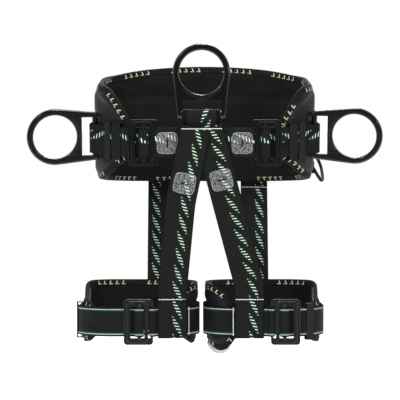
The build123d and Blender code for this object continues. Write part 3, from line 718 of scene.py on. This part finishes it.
class Pad:
    """A sewn pad: a strip of cloth-covered foam that follows a plan line, between two edges."""

    rows = 30

    def __init__(self, name, shape, angles, thickness, edges, to_frame, end_round, flare=0.0):
        self.name, self.thickness, self.to_frame, self.flare = name, thickness, to_frame, flare
        self.columns, self.plan, self.normal = walk(shape, *angles, -thickness / 2, 4.2)
        top, low = np.array([edges(x, y) for x, y in self.plan]).T
        top, low = smoothed(top, 3), smoothed(low, 3)
        inset = np.minimum(self.columns, self.columns[-1] - self.columns)
        part = np.clip(1 - inset / end_round, 0, 1)
        cut = end_round * (1 - np.sqrt(1 - part ** 2))
        self.top, self.low = top - cut, low + cut
        ring = [(s, w) for s, w in zip(self.columns, self.top)]
        ring += [(self.columns[-1], w) for w in np.linspace(self.top[-1], self.low[-1], 12)[1:-1]]
        ring += [(s, w) for s, w in zip(self.columns[::-1], self.low[::-1])]
        ring += [(self.columns[0], w) for w in np.linspace(self.low[0], self.top[0], 12)[1:-1]]
        self.ring = self.even(np.array(ring), 3.0)

    @staticmethod
    def even(ring, step):
        """A closed line with evenly spaced points."""
        closed = np.concatenate([ring, ring[:1]])
        along = lengths(closed)
        places = np.arange(0, along[-1] - step / 2, along[-1] / round(along[-1] / step))
        return np.stack([np.interp(places, along, closed[:, i]) for i in (0, 1)], axis=1)

    def half(self, depth):
        """Half the pad's thickness at this depth inside its edge."""
        full_at, edge_share = 17.0, 0.40
        share = np.clip(depth / full_at, 0, 1)
        return self.thickness / 2 * (edge_share + (1 - edge_share) * (1 - (1 - share) ** 2.2))

    def point(self, s, w, n):
        """A place in the frame, from length along, height, and distance out from the outer face."""
        x, y = (np.interp(s, self.columns, self.plan[:, i]) for i in (0, 1))
        nx, ny = (np.interp(s, self.columns, self.normal[:, i]) for i in (0, 1))
        flare_from, flare_over = 27, 28
        n += self.flare * max(0.0, (w - flare_from) / flare_over) ** 1.3
        return self.to_frame(x + n * nx, y + n * ny, w)

    def depth(self, s, w):
        return float(np.min(np.hypot(self.ring[:, 0] - s, self.ring[:, 1] - w)))

    def build(self, materials, groove, room, puff):
        """The closed pad mesh, swelled by a cloth simulation held at its seams.

        groove(w) is how deep the inner face is drawn in, room(s, w, x, y) how far the outer face may
        swell, and puff how far the inner one may.
        """
        rows = self.rows
        verts, uvs, limits, pinned = [], [], [], []
        for side in (1, -1):
            for i, s in enumerate(self.columns):
                for j in range(rows + 1):
                    w = self.height(i, j)
                    depth = self.depth(s, w)
                    half = float(self.half(depth))
                    n = -self.thickness / 2 + side * half
                    drawn = groove(w) * min(1.0, depth / 14) if side < 0 else 0.0
                    n += drawn
                    verts.append(self.point(s, w, n))
                    uvs.append((s * MM, w * MM))
                    free = room(w, *self.plan[i]) if side > 0 else puff
                    limits.append(free * min(1.0, max(0.0, depth - 8) / 8))
                    pinned.append(depth < 8 or (side > 0 and free < 0.05) or drawn > 0.5)
        count, across = len(self.columns), rows + 1
        faces, slots = [], []

        def index(side, i, j):
            return side * count * across + i * across + j

        for side in (0, 1):
            for i in range(count - 1):
                for j in range(rows):
                    corner = ((i, j), (i, j + 1), (i + 1, j + 1), (i + 1, j))
                    faces.append(tuple(index(side, *c) for c in corner))
                    slots.append(side)
        rim = [(i, 0) for i in range(count)] + [(count - 1, j) for j in range(1, rows + 1)]
        rim += [(i, rows) for i in range(count - 2, -1, -1)] + [(0, j) for j in range(rows - 1, 0, -1)]
        for one, two in zip(rim, rim[1:] + rim[:1]):
            faces.append((index(0, *one), index(0, *two), index(1, *two), index(1, *one)))
            slots.append(0)
        pad = link_mesh(f"{self.name}_outside", verts, faces, uvs, materials, slots)
        swell(pad, np.array(limits), [i for i, held in enumerate(pinned) if held])
        inside = bpy.data.objects.new(f"{self.name}_inside", pad.data.copy())
        add(inside)
        for piece, kept in ((pad, 0), (inside, 1)):
            keep_slot(piece.data, kept)
            smooth = piece.modifiers.new("subdivide", "SUBSURF")
            smooth.levels = smooth.render_levels = 1
        return pad, inside

    def height(self, i, j):
        """Rows lie closer together near the edges."""
        share = j / self.rows
        eased = share - 0.06 * math.sin(2 * math.pi * share)
        return self.low[i] + (self.top[i] - self.low[i]) * eased

    def edge_run(self, inset, n_side, lift):
        """Points along the whole edge at an inset, on one face; and the in-plane inward directions."""
        ahead = np.roll(self.ring, -1, axis=0) - np.roll(self.ring, 1, axis=0)
        ahead /= norm(ahead, axis=1)[:, None]
        inward = np.stack([ahead[:, 1], -ahead[:, 0]], axis=1)
        places = self.ring + inward * inset
        n = -self.thickness / 2 + n_side * (float(self.half(max(inset, 0))) + lift)
        return [self.point(s, w, n) for s, w in places]

    def binding(self, material):
        """Edge tape folded round the pad's edge."""
        # each place: how far in from the pad's edge, which face, how far off it
        outer = (
            (8.2, 1, 0.2), (7.8, 1, 0.75), (5.0, 1, 0.85),
            (2.0, 1, 0.85), (0.3, 1, 0.75), (-0.75, 1, -0.4),
        )
        apex = ((-1.1, 1, -1.6), (-1.1, -1, -1.6))
        inner = tuple((d, -1, lift) for d, _, lift in reversed(outer))
        hidden = ((7.6, -1, -0.6), (1.0, -1, -0.9), (1.0, 1, -0.9), (7.6, 1, -0.6))
        section = (*outer, *apex, *inner, *hidden)
        loops = [self.edge_run(*place) for place in section]
        count, places = len(section), len(self.ring)
        verts = [loops[j][i] for i in range(places) for j in range(count)]
        step = float(norm(self.ring[1] - self.ring[0])) * MM
        over = [side * (inset + 1.5) * MM for inset, side, _ in section]
        faces, uvs = [], []
        for i in range(places):
            u, u2 = i * step, (i + 1) * step
            for j in range(count):
                k, i2 = (j + 1) % count, (i + 1) % places
                faces.append((i * count + j, i * count + k, i2 * count + k, i2 * count + j))
                uvs += [(u, over[j]), (u, over[k]), (u2, over[k]), (u2, over[j])]
        return link_mesh(f"{self.name}_binding_tape", verts, faces, uvs, [material])

    def low_piping(self, material):
        """A pale rim under the pad's inner front end, tapering off at its ends."""
        kept = [i for i, (x, y) in enumerate(self.plan) if x < -52 and y < -18]
        sweep = np.linspace(0, math.pi, len(kept))
        outer, inner = -0.5, 0.5 - self.thickness
        verts, uvs = [], []
        for i, turn in zip(kept, sweep):
            deep = 1.4 + 5.6 * math.sin(turn) ** 0.7
            for n, drop in ((outer, 0.8), (outer, deep), (inner, deep), (inner, 0.8)):
                verts.append(self.point(self.columns[i], self.low[i] - drop, n))
                uvs.append((self.columns[i] * MM, (n + drop) * MM))
        last = len(verts) - 4
        faces = [*tube_faces(len(kept), 4), (3, 2, 1, 0), (last, last + 1, last + 2, last + 3)]
        return link_mesh(f"{self.name}_piping", verts, faces, uvs, [material])

    def seam(self, material, inset=6.6):
        """Stitches along the binding, on both faces."""
        runs = []
        for side in (1, -1):
            points = self.edge_run(inset, side, 0.9)
            others = self.edge_run(inset, side, 3.0)
            for i in range(0, len(points), 6):
                piece = [points[(i + k) % len(points)] for k in range(7)]
                runs.append((piece, others[(i + 3) % len(points)] - points[(i + 3) % len(points)]))
        return stitches(f"{self.name}_seam", runs, material, 3.4, 2.5, 0.6, 0.4)


def keep_slot(mesh, kept):
    """Leaves only the faces of one material slot."""
    whole = bmesh.new()
    whole.from_mesh(mesh)
    bmesh.ops.delete(whole, geom=[f for f in whole.faces if f.material_index != kept], context="FACES")
    for face in whole.faces:
        face.material_index = 0
    whole.to_mesh(mesh)
    whole.free()
    material = mesh.materials[kept]
    mesh.materials.clear()
    mesh.materials.append(material)


def swell(pad, limits, held):
    """Puffs a pad out by cloth pressure, held at its seams, no vertex further than its limit."""
    rest = np.array([v.co for v in pad.data.vertices], float)
    group = pad.vertex_groups.new(name="seams")
    group.add(held, 1.0, "REPLACE")
    cloth = pad.modifiers.new("cloth", "CLOTH")
    cloth.settings.quality = 4
    cloth.settings.mass = 0.25
    cloth.settings.tension_stiffness = cloth.settings.compression_stiffness = 12
    cloth.settings.bending_stiffness = 0.6
    cloth.settings.use_pressure = True
    cloth.settings.uniform_pressure_force = 5.0
    cloth.settings.shrink_min = -0.035
    cloth.settings.vertex_group_mass = "seams"
    cloth.settings.effector_weights.gravity = 0
    cloth.collision_settings.use_collision = False
    steps = 18
    cloth.point_cache.frame_start, cloth.point_cache.frame_end = 1, steps
    scene = bpy.context.scene
    for step in range(1, steps + 1):
        scene.frame_set(step)
    shown = pad.evaluated_get(bpy.context.evaluated_depsgraph_get())
    moved = np.array([v.co for v in shown.data.vertices], float)
    pad.modifiers.remove(cloth)
    scene.frame_set(1)
    shift = moved - rest
    size = norm(shift, axis=1)
    allowed = limits * MM
    eased = allowed * np.tanh(size / np.maximum(allowed, 1e-6))
    scale = np.where(size > 1e-9, eased / np.maximum(size, 1e-9), 0)
    pad.data.vertices.foreach_set("co", (rest + shift * scale[:, None]).astype(np.float32).ravel())
    pad.data.update()


def waist_edges(x, y):
    """Top and low edge of the waist pad at a place on its plan."""
    side = abs(x)
    level = (WAIST_LOW_Z - y * math.sin(DIP)) / math.cos(DIP)
    if y > -30:
        return 79 + 12 * max(0.0, 1 - (side / 150) ** 2), level
    low = max(level, np.interp(side, (112, 124, 178), (-28, -28, -82)))
    return np.interp(side, (112, 124, 149), (21, 46, 79)), low


# the low edge of each leg pad's inner front tab: places outwards, and the height at each
LEG_TAB = {
    "left": ((-85, -74, -44, -38), (-35, -49, -35, 4)),
    "right": ((-79, -75, -44, -38), (-36, -22, -20, 4)),
}


def leg_edges(side, x, y):
    """Top and low edge of a leg pad at a place on its plan."""
    if x < 0 and y < -40:
        return np.interp(x, (-79, -46, -38), (55, 30, 4)), np.interp(x, *LEG_TAB[side])
    if x > 0 and y < -40:
        low = np.interp(x, (62, 69, 97), (-10, -29, -35))
        return np.interp(x, (62, 69, 80, 89), (10, 22, 30, 32)), low
    if x > 0:
        return np.interp(y, (-8, 48), (32, 55)), -35
    return 55, -35


def waist_groove(w):
    """The channel along the waist pad's inner face."""
    deep, slope = 4.2, 6.0
    off = min(1.0, abs(w - CHANNEL_W) / (CHANNEL_HALF + slope))
    return deep * (0.5 + 0.5 * math.cos(math.pi * off))


def waist_room(w, x, y):
    """How far the waist pad's outer face may swell before it meets the straps on it."""
    if abs(w) < 33:
        return 0.7
    rear = min(abs(x - REAR_X[side]) for side in SIDES)
    if y > 0 and w < 0 and rear < 27:
        return 0.5
    return 3.2


def leg_room(w, x, y):
    if abs(w) < 31:
        return 0.6
    return 2.4


# ---------------------------------------------------------------- sewn blocks
def tack(name, place, start, material, slit=14.0):
    """A block of dense stitching with a bare slit across it; place(a, b, lift) is a point in metres."""
    around, rings = 128, 16
    verts, uvs = [], []

    def outer(angle):
        ca, sa = math.cos(angle), math.sin(angle)
        reach = abs(2 * ca / TACK_W) ** TACK_ROUND + abs(2 * sa / TACK_H) ** TACK_ROUND
        reach **= -1 / TACK_ROUND
        return reach * ca, reach * sa

    for r in range(rings + 1):
        share = r / rings
        for k in range(around):
            angle = 2 * math.pi * k / around
            a0, b0 = 0.9 * math.cos(angle), slit / 2 * math.sin(angle)
            a1, b1 = outer(angle)
            a, b = a0 + (a1 - a0) * share, b0 + (b1 - b0) * share
            rim = math.sin(math.pi * min(1.0, (1 - share) * 7)) * 0.16 if share > 0.857 else 0.0
            body = min(1.0, share * 9, (1 - share) * 11)
            ripple = 0.07 * math.sin(a * 2.6 + math.sin(b * 1.9) * 2.2)
            verts.append(place(a, b, -0.35 + 0.95 * math.sqrt(body) + rim + ripple * body))
            uvs.append(((start + a) * MM, b * MM))
    return link_mesh(name, verts, tube_faces(rings + 1, around), uvs, [material])


def arc_to(points, place):
    """Length along points, in metres, to the one nearest a place; returned in millimetres."""
    line = as_line(points)
    return lengths(line)[int(np.argmin(norm(line - np.array(tuple(place)), axis=1)))] / MM


def sewn_block(kind, place, line, middle, mark):
    """Adds a block to a strap that runs along line; the strap's dashes carry on through it."""
    start = arc_to(line, middle)
    sewing = tack_thread(f"{kind}_thread", mark, start)
    put(tack(f"{kind}_block", place, start, sewing), "root", (f"{kind}_tack",))


def sewn_rows(name, body, runs, material, *sizes):
    """Adds rows of stitches to a body."""
    put(stitches(name, runs, material, *sizes), body)


# ---------------------------------------------------------------- the saddle, piece by piece
studio()

webbing = marked_webbing("marked_webbing", FRONT_MARK)
waist_webbing = marked_webbing("waist_webbing", WAIST_MARK)
rear_webbing = {
    side: marked_webbing(f"{side}_rear_webbing", sign * REAR_MARK) for side, sign in SIDES.items()
}
bare_webbing = plain_webbing()
zigzag_webbing = leg_webbing()
tape = edge_tape()
white_thread = thread("white_thread", (0.34, 0.36, 0.33), (0.66, 0.68, 0.62))
dark_thread = thread("dark_thread", (0.006, 0.006, 0.0065), (0.020, 0.020, 0.0215))
shell = shell_cloth()
mesh_cloth = spacer_mesh()
knit_cloth = leg_lining()

# waist belt: round the back, out over each side ring's bar, over the buckle's bar, back as a tail
belt_r, tail_r = WAIST[2] + BELT_MID, WAIST[2] + TAIL_MID
belt_x, belt_y = WAIST[0] + BELT_MID, WAIST[1] + BELT_MID
side_bar, touch, tail_from, tail_to = -25, -39, -82, -43  # angles round the pad's corner
side_reach, rise_x, crest_y = 97.4, 85.2, -136.8
leave_bar = lead(WAIST_CORNER, tail_r, tail_from, 3)
half_plan = bend(
    [
        (0, belt_y),
        (belt_x, belt_y),
        (belt_x, -46),
        on_circle(WAIST_CORNER, side_reach, side_bar),
        lead(WAIST_CORNER, belt_r, touch, -4),
        mitre(WAIST_CORNER, belt_r, touch, -90),
        (rise_x, -belt_y),
        (rise_x, crest_y),
        (leave_bar[0], crest_y),
        leave_bar,
        mitre(WAIST_CORNER, tail_r, tail_from, tail_to),
        lead(WAIST_CORNER, tail_r, tail_to, -1),
    ],
    (belt_r, 30, 7, 6, belt_r, 1.6, 3, 3, 1.6, tail_r),
)
belt_line = [waist(x, y, 0) for x, y in across_from(half_plan)]
made = strap("waist_belt_webbing", belt_line, -WAIST_UP, waist_webbing)
put(made, "root", ("waist_belt",))

# centre strap, behind the front ring's loop
centre_half = bend(
    [
        (0, STRAP_FRONT_Y), (75, STRAP_FRONT_Y), (75, STRAP_BACK_Y),
        (67, STRAP_BACK_Y), (59, STRAP_TAIL_Y), (40, STRAP_TAIL_Y),
    ],
    (2.6, 2.6, 6, 6),
)
centre_line = [waist(x, y, 0) for x, y in across_from(centre_half)]
made = strap("centre_strap_webbing", centre_line, -WAIST_UP, waist_webbing)
put(made, "root", ("centre_strap",))

# front ring's loop, drawn from the side: y, and height up the belt
loop_plan = bend(
    [
        (-136.0, -20), (-136.0, 28), (-138.6, 36), (-138.6, 49.7),
        (-126.4, 49.7), (-126.4, 34), (-131, 24), (-131, -34),
    ],
    (12, 12, 6.05, 6.05, 10, 10),
)
loop_line = [waist(FRONT_X, y, w) for y, w in loop_plan]
made = strap("ring_loop_webbing", loop_line, X_WAY, webbing, 57.0)
put(made, "root", ("front_ring_loop",))

# front straps, each with its foot on the leg loop
for side, sign in SIDES.items():
    x_top, x_split = (FRONT_X + x for x in FRONT_STRAP_X[side])
    face_y = FRONT_STRAP_Y[side]
    foot_x, leg_front = LEG_X[side] + sign * FOOT_OUT[side], LEG_Y - LEG[1]
    outer_y, inner_y, low_z = leg_front - 9.8, leg_front - 2.2, LEG_Z - 24.6
    top, split = waist(x_top, face_y, TOP_W) / MM, waist(x_split, face_y, SPLIT_W) / MM
    path = bend(
        [
            top, split, (foot_x, outer_y, LEG_Z + 55), (foot_x, outer_y, low_z),
            (foot_x, inner_y, low_z), (foot_x, inner_y, LEG_Z + FOOT_TOP),
        ],
        (140, 60, 3.75, 3.75),
    )
    line = [Vector(p) * MM for p in path]
    made = strap(f"{side}_front_strap_webbing", line, X_WAY, webbing)
    for vertex in made.data.vertices:  # the foot settles round the leg loop's corner
        out = sign * (vertex.co.x / MM - LEG_X[side])
        n = LEG[2] + leg_front - vertex.co.y / MM
        over = min(0.0, out + LEG_CORNER[0])
        settle = min(1.0, max(0.0, (-225 - vertex.co.z / MM) / 38))
        vertex.co.y += (n - math.sqrt(n * n - over * over)) * settle * MM
    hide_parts(f"{side}_front_strap", f"{side}_front_strap_foot")
    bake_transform(made)

    tack_w = FRONT_TACK_W[side]
    down = (split - top).normalized()
    middle = top + (split - top) * (TOP_W - tack_w) / (TOP_W - SPLIT_W) + WAIST_FRONT * WEB_T / 2
    right_way = (X_WAY - down * down.x).normalized()

    def on_front(a, b, lift, middle=middle, down=down, right_way=right_way):
        return (middle + down * a + right_way * b + WAIST_FRONT * lift) * MM

    sewn_block(f"{side}_strap", on_front, line, middle * MM, FRONT_MARK)

    level = waist(0, face_y, TOP_W - 2.2).z / MM
    top_row = [
        on_front((level - middle.z - right_way.z * b) / down.z, b, 0.05) for b in (-ROW_HALF, ROW_HALF)
    ]
    sewn_rows(f"{side}_strap_top_stitches", "root", [(top_row, WAIST_FRONT)], white_thread, *BOLD)

    def on_foot(out, w, n, side=side):
        over = min(0.0, out + LEG_CORNER[0])
        y = LEG[2] - LEG[1] - math.sqrt((LEG[2] + n) ** 2 - over * over)
        return leg_point(side, out, y, w)

    spread = np.linspace(FOOT_OUT[side] - ROW_HALF, FOOT_OUT[side] + ROW_HALF, 12)
    seam_out = FOOT_OUT[side] - 24.6
    rows = [[on_foot(out, 34.5, 10.95) for out in spread], [on_foot(seam_out, w, 8.4) for w in (22, -22)]]
    runs = [(row, (0, -1, 0)) for row in rows]
    sewn_rows(f"{side}_foot_stitches", f"{side}_leg", runs, white_thread, *BOLD)

# blocks on the centre strap
for side, sign in SIDES.items():
    centre = waist(sign * 56, STRAP_FRONT_Y - WEB_T / 2, 0)

    def on_waist(a, b, lift, centre=centre):
        return centre + (Vector((a, 0, 0)) - WAIST_UP * b + WAIST_FRONT * lift) * MM

    sewn_block(f"{side}_waist", on_waist, centre_line, centre, WAIST_MARK)

# rear straps
for side, sign in SIDES.items():
    x = REAR_X[side]
    top, edge = waist(x, REAR_TOP_Y, -27) / MM, waist(x, REAR_TOP_Y, -102) / MM
    path = bend([top, edge, (x, REAR_FOOT_Y, -248.5), (x, REAR_FOOT_Y, -322.0)], (20, 30))
    line = [Vector(p) * MM for p in path]
    made = strap(f"{side}_rear_strap_webbing", line, X_WAY, rear_webbing[side])
    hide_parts(f"{side}_rear_strap", f"{side}_rear_strap_foot")
    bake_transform(made)
    square = [(x + a, b) for a, b in ((-18, 18), (18, 18), (18, -18), (-18, -18), (-18, 18))]
    rows = []
    for way in (-1, 1):
        lift = way * WEB_T / 2
        rows.append(([waist(a, REAR_TOP_Y + lift, b - 78) for a, b in square], (0, way, 0)))
    foot_row = [Vector((a, REAR_FOOT_Y + WEB_T / 2, b - 298)) * MM for a, b in square]
    sewn_rows(f"{side}_rear_foot_stitches", f"{side}_leg", [(foot_row, (0, 1, 0))], dark_thread)
    sewn_rows(f"{side}_rear_top_stitches", "root", rows, dark_thread)
    if side == "left":
        bar_z = -87.7
        y = np.interp(-bar_z, [-p[2] for p in path], [p[1] for p in path]) - WEB_T / 2 - 0.1
        bar = [Vector((x + a, y, bar_z)) * MM for a in np.linspace(-21, 21, 8)]
        bar_rows = [(bar, (0, -1, 0.24))]
        sewn_rows("left_rear_bar_stitches", "root", bar_rows, white_thread, 2.7, 2.3, 1.3, 0.6)

# leg straps: a sewn loop round the buckle frame's side, round the leg, over the bar, back as a tail
belt_r, tail_r = LEG[2] + LEG_BELT, LEG[2] + LEG_TAIL
belt_x, belt_y, tail_y = LEG[0] + LEG_BELT, LEG[1] + LEG_BELT, -LEG[1] - LEG_TAIL
loop_y, crest = tail_y - 5.5, -LEG[1] - 16.0
for side in SIDES:
    buckle = BUCKLE_OUT[side]
    loop_x, inner_x, outer_x = buckle - 19, buckle - 8.8, buckle + 2.8
    sewn_end = FOOT_OUT[side] - 26.5
    sewn_at = -90 + math.degrees(math.asin((sewn_end + LEG_CORNER[0]) / tail_r))
    tail_end = LEG_KEEPER_AT[side] + TAIL_PAST_KEEPER
    corner = (-LEG_CORNER[0], LEG_CORNER[1])
    plan = bend(
        [
            lead(corner, tail_r, sewn_at, 1),
            mitre(corner, tail_r, sewn_at, -90),
            (loop_x - 9.2, tail_y), (loop_x - 5.9, loop_y), (loop_x, loop_y), (loop_x, tail_y),
            (loop_x - 5.9, tail_y), (loop_x - 9.2, -belt_y),
            (-belt_x, -belt_y), (-belt_x, belt_y), (belt_x, belt_y),
            mitre(LEG_CORNER, belt_r, 0, -90),
            (inner_x, -belt_y), (inner_x, crest), (outer_x, crest), (outer_x, tail_y),
            mitre(LEG_CORNER, tail_r, -90, tail_end),
            lead(LEG_CORNER, tail_r, tail_end, -1),
        ],
        (tail_r, 2, 1.5, 2.6, 2.6, 2, 2, belt_r, belt_r, belt_r, belt_r, 1.6, 3, 3, 1.6, tail_r),
    )
    line = [leg_point(side, x, y, 0) for x, y in plan]
    made = strap(f"{side}_leg_webbing", line, UP, zigzag_webbing)
    put(made, f"{side}_leg", (f"{side}_leg_strap",))

# pads
def dress(pad, body, lining, groove, room, puff):
    """Adds a pad's two cloths, its edge tape and its seam."""
    outside, inside = pad.build([shell, lining], groove, room, puff)
    put(outside, body, (f"{pad.name}_shell",))
    put(inside, body, (f"{pad.name}_lining", f"{pad.name}_foam"))
    put(pad.binding(tape), body, (f"{pad.name}_binding",))
    put(pad.seam(dark_thread), body)


waist_pad = Pad("waist_pad", WAIST, (-71.1, 251.1), WAIST_PAD_T, waist_edges, waist, 7.0)
dress(waist_pad, "root", mesh_cloth, waist_groove, waist_room, 1.6)

for side in SIDES:

    def to_leg(x, y, w, side=side):
        return leg_point(side, x, y, w)

    def this_leg(x, y, side=side):
        return leg_edges(side, x, y)

    pad = Pad(f"{side}_leg_pad", LEG, (-62.6, 270.0), LEG_PAD_T, this_leg, to_leg, 6.0, 4.0)
    dress(pad, f"{side}_leg", knit_cloth, lambda w: 0.0, leg_room, 1.2)
    if side == "left":
        put(pad.low_piping(piping_cloth()), "left_leg")

# left gear loop and its two tabs
CORD_R = 2.5
GEAR_ROUTE = (
    (169.8, 31.0, -35.0), (180.5, 31.0, -39.0), (187.0, 23.0, -54.0), (188.0, 3.0, -70.0),
    (186.0, -19.0, -79.0), (180.5, -33.0, -77.5), (169.8, -33.0, -58.5),
)
curve = bpy.data.curves.new("left_gear_cord", "CURVE")
curve.dimensions = "3D"
spline = curve.splines.new("NURBS")
spline.points.add(len(GEAR_ROUTE) - 1)
for point, (x, y, z) in zip(spline.points, GEAR_ROUTE):
    point.co = (x * MM, y * MM, z * MM, 1)
spline.order_u = 3
spline.use_endpoint_u = True
spline.resolution_u = 14
curve.bevel_depth = CORD_R * MM
curve.bevel_resolution = 5
curve.use_fill_caps = True
curve.materials.append(braid())
loop = bpy.data.objects.new("left_gear_cord", curve)
add(loop)
put(loop, "root", ("left_gear_loop",))
[v * MM for v in GEAR_ROUTE[0]]
tabs = {"back": (GEAR_ROUTE[0], ("left_gear_loop_tabs",)), "front": (GEAR_ROUTE[-1], ())}
for name, ((x, y, z), stands_for) in tabs.items():
    line = [Vector((x + 0.1, y, z + rise)) * MM for rise in np.linspace(9, -9, 8)]
    tab = strap(f"left_gear_tab_{name}", line, (0, 1, 0), bare_webbing, 15.0, 2.8)
    put(tab, "root", stands_for)

# metal and keepers
# each metal's second colour is its edges' colour: partly wear, partly painted highlight
ring_steel = coated_metal("ring_metal", (0.0010, 0.0010, 0.0011), grey(0.06), 0.16, 0.26, 0.08)
buckle_steel = coated_metal("buckle_metal", (0.0026, 0.0026, 0.0028), (0.020, 0.020, 0.021), 0.26, 0.38)
# a darker copy of the buckle metal, with dimmer edges and rims, for the waist buckle: painted shade
shaded_buckle_steel = coated_metal("shaded_waist_buckle_metal", (0.0010, 0.0010, 0.0011), grey(0.012), 0.34, 0.46, 0.035)
plastic = keeper_material("keeper_plastic", grey(0.005), 2.2)
elastic = keeper_material("keeper_elastic", grey(0.0025), 1.5)
FINISHES = {
    ring_steel: ("_ring",),
    shaded_buckle_steel: ("_waist_buckle_frame", "_waist_buckle_plate", "_waist_buckle_bar"),
    buckle_steel: ("_leg_buckle_frame", "_leg_buckle_plate", "_leg_buckle_bar"),
    elastic: ("_waist_front_keeper",),
    plastic: ("_leg_keeper", "_waist_rear_keeper"),
}
for name, node in nodes.items():
    for finish, endings in FINISHES.items():
        if name.endswith(endings):
            node.data.materials.clear()
            node.data.materials.append(finish)

boxes = {"cad": cad_box, "shown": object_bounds()}
{name: [list(corner) for corner in box] for name, box in boxes.items()}
